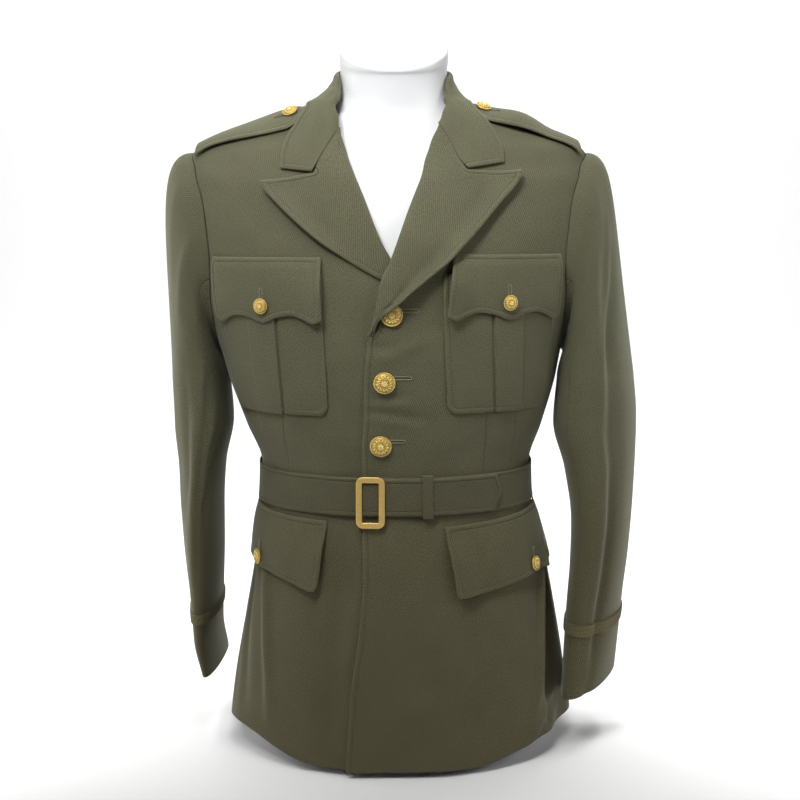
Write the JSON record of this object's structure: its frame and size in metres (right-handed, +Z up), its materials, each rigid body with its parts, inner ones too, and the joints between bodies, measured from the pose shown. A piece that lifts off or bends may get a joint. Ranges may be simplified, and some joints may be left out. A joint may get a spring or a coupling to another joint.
{
  "type": "military dress tunic on a limbless dress form",
  "caption": "Belted single-breasted military dress tunic with peaked lapels, pleated breast pockets, flapped hip pockets, shoulder straps and cuff braid, on a limbless dress form.",
  "frame": {"origin": "centre of the dress form's flat base, on the surface it stands on", "axes": "+Z up, -Y out of the tunic's front, +X to the wearer's left"},
  "size_m": [0.5272, 0.3025, 0.7954],
  "materials": {
    "cloth": "dark olive wool barathea, fine diagonal twill",
    "braid": "flat ribbed olive braid",
    "gilt": "gilt, satin",
    "form": "smooth white moulding"
  },
  "bodies": {
    "root": {"back_left": "cloth", "back_right": "cloth", "front_left": "cloth", "front_right": "cloth", "sleeve_top_left": "cloth", "sleeve_under_left": "cloth", "sleeve_top_right": "cloth", "sleeve_under_right": "cloth", "collar": "cloth", "lapel_left": "cloth", "lapel_right": "cloth", "epaulette_left": "cloth", "epaulette_right": "cloth", "breast_pocket_left": "cloth", "breast_pocket_right": "cloth", "breast_flap_left": "cloth", "breast_flap_right": "cloth", "hip_flap_left": "cloth", "hip_flap_right": "cloth", "belt": "cloth", "belt_end": "cloth", "belt_keeper": "cloth", "cuff_braid_left": "braid", "cuff_braid_right": "braid", "buckle": "gilt", "coat_button_1": "gilt", "coat_button_2": "gilt", "coat_button_3": "gilt", "breast_button_left": "gilt", "breast_button_right": "gilt", "hip_button_left": "gilt", "hip_button_right": "gilt", "epaulette_button_left": "gilt", "epaulette_button_right": "gilt", "dress_form": "form"}
  },
  "joints": []
}
